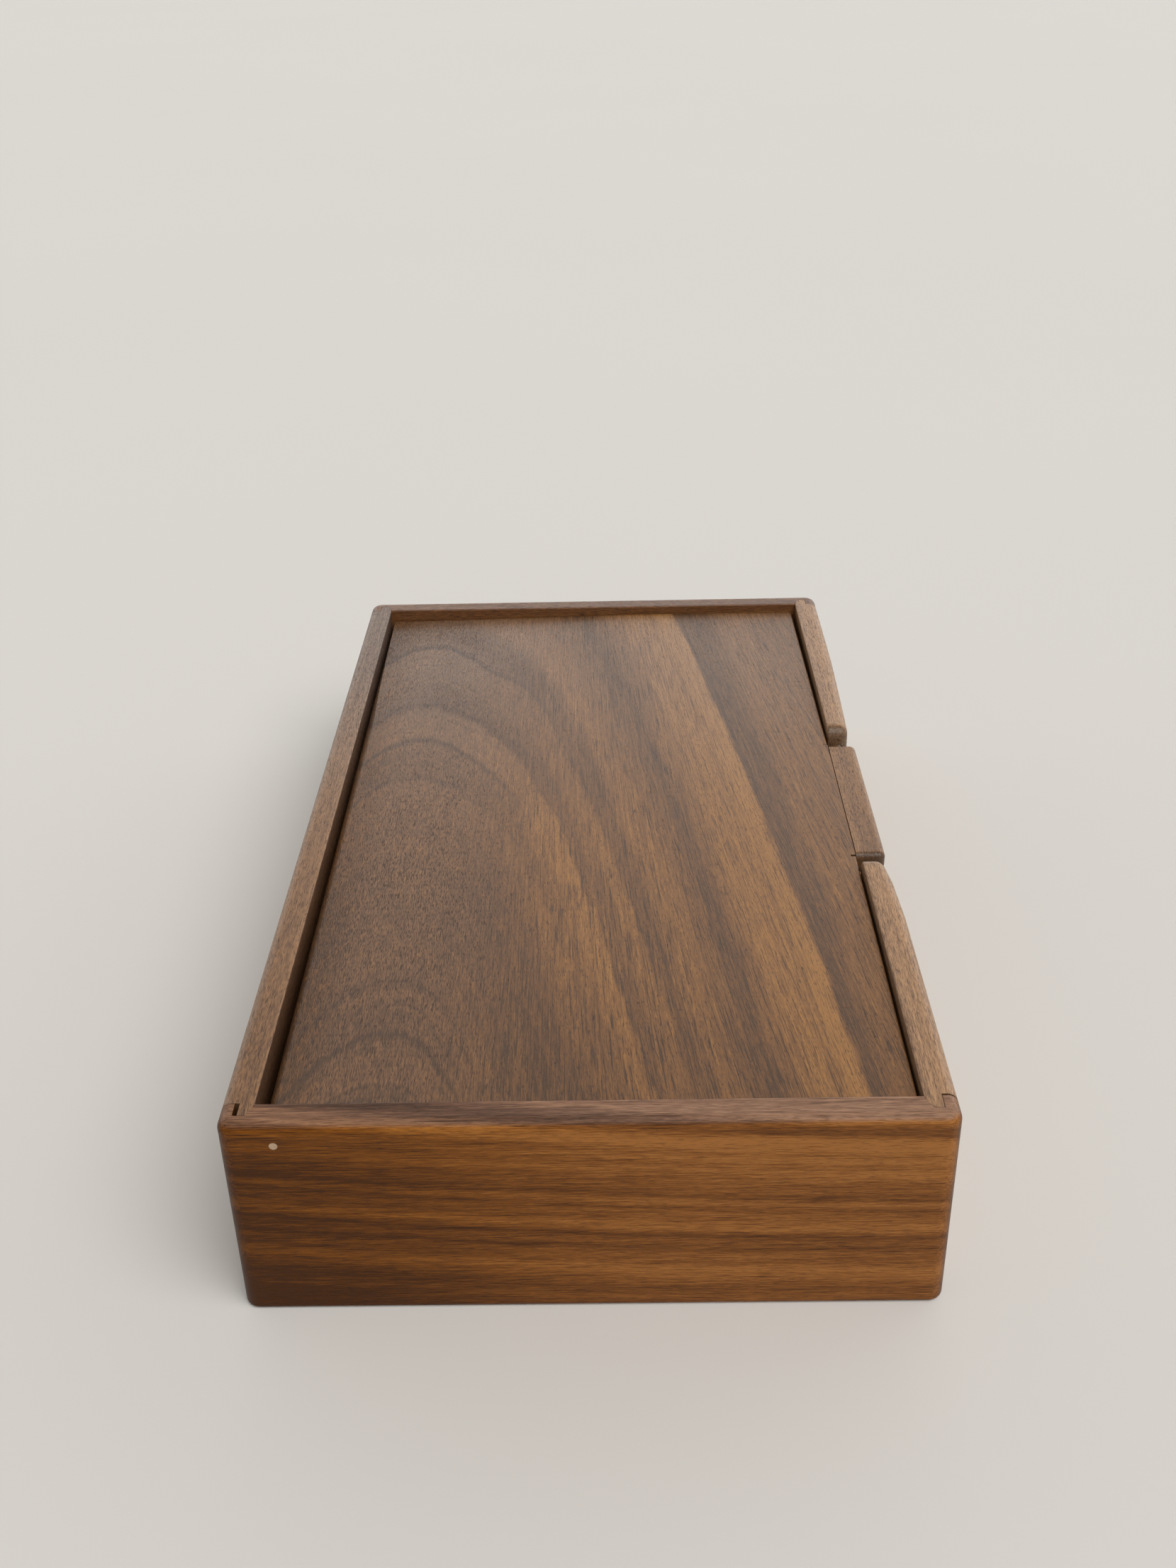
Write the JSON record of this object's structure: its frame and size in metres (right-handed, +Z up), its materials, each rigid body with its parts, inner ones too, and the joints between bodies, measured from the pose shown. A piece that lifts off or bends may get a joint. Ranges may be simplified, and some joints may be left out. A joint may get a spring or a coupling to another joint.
{
  "type": "wooden puzzle box",
  "caption": "Low oblong dark wood box with an inset lid on pin hinges, a lift tab in a side notch, and hidden sliding lock pins.",
  "frame": {"origin": "centre of the underside, on the surface that the box stands on", "axes": "+X to the opening side with the tab, +Y to the back along the length, +Z up"},
  "size_m": [0.134, 0.235, 0.0457],
  "materials": {
    "end_wood": "oiled dark walnut",
    "side_wood": "oiled dark walnut",
    "lid_wood": "oiled dark walnut",
    "tab_wood": "oiled dark walnut",
    "bottom_wood": "oiled dark walnut",
    "pale_wood": "sanded pale dowel",
    "steel": "bright steel"
  },
  "bodies": {
    "case": {"front_board": "end_wood", "back_board": "end_wood", "left_side": "side_wood", "right_side": "side_wood", "bottom_panel": "bottom_wood", "front_hinge_pin": "pale_wood", "back_hinge_pin": "pale_wood", "front_stop_brad": "steel", "back_stop_brad": "steel"},
    "lid": {"lid_panel": "lid_wood", "lift_tab": "tab_wood"},
    "front_lock": {"front_lock_pin": "steel"},
    "back_lock": {"back_lock_pin": "steel"}
  },
  "joints": [
    {"name": "lid_hinge", "type": "hinge", "parent": "case", "child": "lid", "pos_m": [-0.0567, 0, 0.04113], "axis": [0, -1, 0], "range_deg": [0, 104]},
    {"name": "front_lock_slide", "type": "slide", "parent": "case", "child": "front_lock", "axis": [0, 1, 0], "range_m": [0, 0.008]},
    {"name": "back_lock_slide", "type": "slide", "parent": "case", "child": "back_lock", "axis": [0, -1, 0], "range_m": [0, 0.008]}
  ]
}
